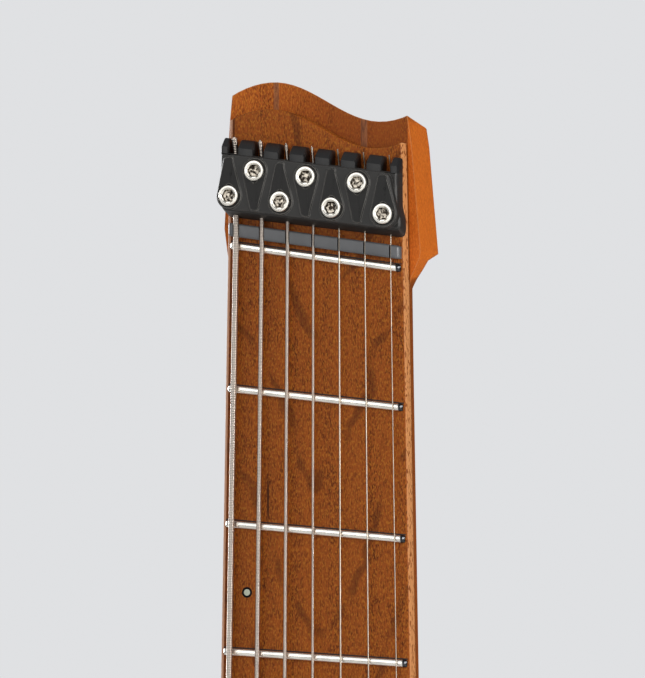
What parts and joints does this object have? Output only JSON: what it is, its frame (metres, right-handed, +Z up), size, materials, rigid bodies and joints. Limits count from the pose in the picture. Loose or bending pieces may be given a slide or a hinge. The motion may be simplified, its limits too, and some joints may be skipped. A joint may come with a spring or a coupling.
{
  "type": "headless electric guitar",
  "caption": "Headless electric guitar with fanned frets: maple neck with a wave-shaped end, string-clamping headpiece, single-string bridge units with tail tuners.",
  "frame": {"origin": "centre of the flat end of the tail strap button, on the guitar's centreline", "axes": "+Z up the neck towards the head end, +X towards the treble side, -Y is the way the strings face"},
  "size_m": [0.3069, 0.0588, 0.8049],
  "materials": {
    "body_wood": "satin oiled",
    "roasted_maple": "satin roasted maple with darker laminate strips",
    "roasted_maple_board": "satin roasted maple, flecked",
    "fret_steel": "polished",
    "nut": "satin graphite",
    "rod_steel": "machined",
    "black_metal": "satin black anodised",
    "nickel": "bright nickel",
    "pickup_plastic": "matte black",
    "pot_steel": "plain",
    "switch_plastic": "plain",
    "cover_plastic": "fine grained black",
    "wound_string": "nickel wound",
    "plain_string": "plain steel"
  },
  "bodies": {
    "guitar": {"body": "body_wood", "neck": "roasted_maple", "fingerboard": "roasted_maple_board", "zero_fret": "fret_steel", "string_nut": "nut", "truss_rod": "rod_steel", "headpiece": "black_metal", "string_1": "wound_string", "string_2": "wound_string", "string_3": "wound_string", "string_4": "wound_string", "string_5": "plain_string", "string_6": "plain_string", "string_7": "plain_string", "neck_pickup": "pickup_plastic", "bridge_pickup": "pickup_plastic", "volume_pot": "pot_steel", "tone_pot": "pot_steel", "selector_switch": "switch_plastic", "output_jack": "black_metal", "control_cover": "cover_plastic", "strap_button_tail": "black_metal", "strap_button_horn": "black_metal", "neck_bolt_1": "nickel", "neck_bolt_2": "nickel", "neck_bolt_3": "nickel", "neck_bolt_4": "nickel"},
    "unit_1": {"bridge_unit_1": "black_metal"},
    "slide_1": {"tuner_slide_1": "nickel"},
    "knob_1": {"tuner_knob_1": "black_metal"},
    "lock_screw_1": {"string_lock_screw_1": "nickel"},
    "unit_2": {"bridge_unit_2": "black_metal"},
    "slide_2": {"tuner_slide_2": "nickel"},
    "knob_2": {"tuner_knob_2": "black_metal"},
    "lock_screw_2": {"string_lock_screw_2": "nickel"},
    "unit_3": {"bridge_unit_3": "black_metal"},
    "slide_3": {"tuner_slide_3": "nickel"},
    "knob_3": {"tuner_knob_3": "black_metal"},
    "lock_screw_3": {"string_lock_screw_3": "nickel"},
    "unit_4": {"bridge_unit_4": "black_metal"},
    "slide_4": {"tuner_slide_4": "nickel"},
    "knob_4": {"tuner_knob_4": "black_metal"},
    "lock_screw_4": {"string_lock_screw_4": "nickel"},
    "unit_5": {"bridge_unit_5": "black_metal"},
    "slide_5": {"tuner_slide_5": "nickel"},
    "knob_5": {"tuner_knob_5": "black_metal"},
    "lock_screw_5": {"string_lock_screw_5": "nickel"},
    "unit_6": {"bridge_unit_6": "black_metal"},
    "slide_6": {"tuner_slide_6": "nickel"},
    "knob_6": {"tuner_knob_6": "black_metal"},
    "lock_screw_6": {"string_lock_screw_6": "nickel"},
    "unit_7": {"bridge_unit_7": "black_metal"},
    "slide_7": {"tuner_slide_7": "nickel"},
    "knob_7": {"tuner_knob_7": "black_metal"},
    "lock_screw_7": {"string_lock_screw_7": "nickel"},
    "volume_control": {"volume_knob": "black_metal"},
    "tone_control": {"tone_knob": "black_metal"},
    "lever": {"selector_lever": "black_metal"},
    "truss_wheel": {"truss_rod_wheel": "rod_steel"}
  },
  "joints": [
    {"name": "intonation_1", "type": "slide", "parent": "guitar", "child": "unit_1", "axis": [0, 0, 1], "range_m": [0, 0.003]},
    {"name": "tuner_turn_1", "type": "hinge", "parent": "unit_1", "child": "knob_1", "pos_m": [-0.0315, -0.0337, 0.045], "axis": [0, 0, 1], "range_deg": [-1000, 2700]},
    {"name": "string_draw_1", "type": "slide", "parent": "unit_1", "child": "slide_1", "axis": [0, 0, -1], "range_m": [-0.0019, 0.0052]},
    {"name": "lock_turn_1", "type": "hinge", "parent": "guitar", "child": "lock_screw_1", "pos_m": [-0.0212, -0.0443, 0.77458], "axis": [0, -1, 0], "range_deg": [0, 720]},
    {"name": "intonation_2", "type": "slide", "parent": "guitar", "child": "unit_2", "axis": [0, 0, 1], "range_m": [0, 0.003]},
    {"name": "tuner_turn_2", "type": "hinge", "parent": "unit_2", "child": "knob_2", "pos_m": [-0.021, -0.0337, 0.04712], "axis": [0, 0, 1], "range_deg": [-1000, 2700]},
    {"name": "string_draw_2", "type": "slide", "parent": "unit_2", "child": "slide_2", "axis": [0, 0, -1], "range_m": [-0.0019, 0.0052]},
    {"name": "lock_turn_2", "type": "hinge", "parent": "guitar", "child": "lock_screw_2", "pos_m": [-0.01413, -0.0443, 0.78095], "axis": [0, -1, 0], "range_deg": [0, 720]},
    {"name": "intonation_3", "type": "slide", "parent": "guitar", "child": "unit_3", "axis": [0, 0, 1], "range_m": [0, 0.003]},
    {"name": "tuner_turn_3", "type": "hinge", "parent": "unit_3", "child": "knob_3", "pos_m": [-0.0105, -0.0337, 0.04924], "axis": [0, 0, 1], "range_deg": [-1000, 2700]},
    {"name": "string_draw_3", "type": "slide", "parent": "unit_3", "child": "slide_3", "axis": [0, 0, -1], "range_m": [-0.0019, 0.0052]},
    {"name": "lock_turn_3", "type": "hinge", "parent": "guitar", "child": "lock_screw_3", "pos_m": [-0.00707, -0.0443, 0.77272], "axis": [0, -1, 0], "range_deg": [0, 720]},
    {"name": "intonation_4", "type": "slide", "parent": "guitar", "child": "unit_4", "axis": [0, 0, 1], "range_m": [0, 0.003]},
    {"name": "tuner_turn_4", "type": "hinge", "parent": "unit_4", "child": "knob_4", "pos_m": [0, -0.0337, 0.05136], "axis": [0, 0, 1], "range_deg": [-1000, 2700]},
    {"name": "string_draw_4", "type": "slide", "parent": "unit_4", "child": "slide_4", "axis": [0, 0, -1], "range_m": [-0.0019, 0.0052]},
    {"name": "lock_turn_4", "type": "hinge", "parent": "guitar", "child": "lock_screw_4", "pos_m": [0, -0.0443, 0.77908], "axis": [0, -1, 0], "range_deg": [0, 720]},
    {"name": "intonation_5", "type": "slide", "parent": "guitar", "child": "unit_5", "axis": [0, 0, 1], "range_m": [0, 0.003]},
    {"name": "tuner_turn_5", "type": "hinge", "parent": "unit_5", "child": "knob_5", "pos_m": [0.0105, -0.0337, 0.05348], "axis": [0, 0, 1], "range_deg": [-1000, 2700]},
    {"name": "string_draw_5", "type": "slide", "parent": "unit_5", "child": "slide_5", "axis": [0, 0, -1], "range_m": [-0.0019, 0.0052]},
    {"name": "lock_turn_5", "type": "hinge", "parent": "guitar", "child": "lock_screw_5", "pos_m": [0.00707, -0.0443, 0.77085], "axis": [0, -1, 0], "range_deg": [0, 720]},
    {"name": "intonation_6", "type": "slide", "parent": "guitar", "child": "unit_6", "axis": [0, 0, 1], "range_m": [0, 0.003]},
    {"name": "tuner_turn_6", "type": "hinge", "parent": "unit_6", "child": "knob_6", "pos_m": [0.021, -0.0337, 0.05559], "axis": [0, 0, 1], "range_deg": [-1000, 2700]},
    {"name": "string_draw_6", "type": "slide", "parent": "unit_6", "child": "slide_6", "axis": [0, 0, -1], "range_m": [-0.0019, 0.0052]},
    {"name": "lock_turn_6", "type": "hinge", "parent": "guitar", "child": "lock_screw_6", "pos_m": [0.01413, -0.0443, 0.77722], "axis": [0, -1, 0], "range_deg": [0, 720]},
    {"name": "intonation_7", "type": "slide", "parent": "guitar", "child": "unit_7", "axis": [0, 0, 1], "range_m": [0, 0.003]},
    {"name": "tuner_turn_7", "type": "hinge", "parent": "unit_7", "child": "knob_7", "pos_m": [0.0315, -0.0337, 0.05771], "axis": [0, 0, 1], "range_deg": [-1000, 2700]},
    {"name": "string_draw_7", "type": "slide", "parent": "unit_7", "child": "slide_7", "axis": [0, 0, -1], "range_m": [-0.0019, 0.0052]},
    {"name": "lock_turn_7", "type": "hinge", "parent": "guitar", "child": "lock_screw_7", "pos_m": [0.0212, -0.0443, 0.76898], "axis": [0, -1, 0], "range_deg": [0, 720]},
    {"name": "volume_turn", "type": "hinge", "parent": "guitar", "child": "volume_control", "pos_m": [0.099, -0.029, 0.152], "axis": [0, -1, 0], "range_deg": [-300, 0]},
    {"name": "tone_turn", "type": "hinge", "parent": "guitar", "child": "tone_control", "pos_m": [0.112, -0.029, 0.116], "axis": [0, -1, 0], "range_deg": [-300, 0]},
    {"name": "selector_tilt", "type": "hinge", "parent": "guitar", "child": "lever", "pos_m": [0.091, -0.026, 0.188], "axis": [1, 0, 0], "range_deg": [-15, 15]},
    {"name": "truss_turn", "type": "hinge", "parent": "guitar", "child": "truss_wheel", "pos_m": [0, -0.0275, 0.26117], "axis": [0, 0, 1], "range_deg": [-180, 180]}
  ],
  "couplings": [
    {"joint": "tuner_turn_1", "follows": "string_draw_1", "rad_per_m": 8976},
    {"joint": "tuner_turn_2", "follows": "string_draw_2", "rad_per_m": 8976},
    {"joint": "tuner_turn_3", "follows": "string_draw_3", "rad_per_m": 8976},
    {"joint": "tuner_turn_4", "follows": "string_draw_4", "rad_per_m": 8976},
    {"joint": "tuner_turn_5", "follows": "string_draw_5", "rad_per_m": 8976},
    {"joint": "tuner_turn_6", "follows": "string_draw_6", "rad_per_m": 8976},
    {"joint": "tuner_turn_7", "follows": "string_draw_7", "rad_per_m": 8976}
  ]
}
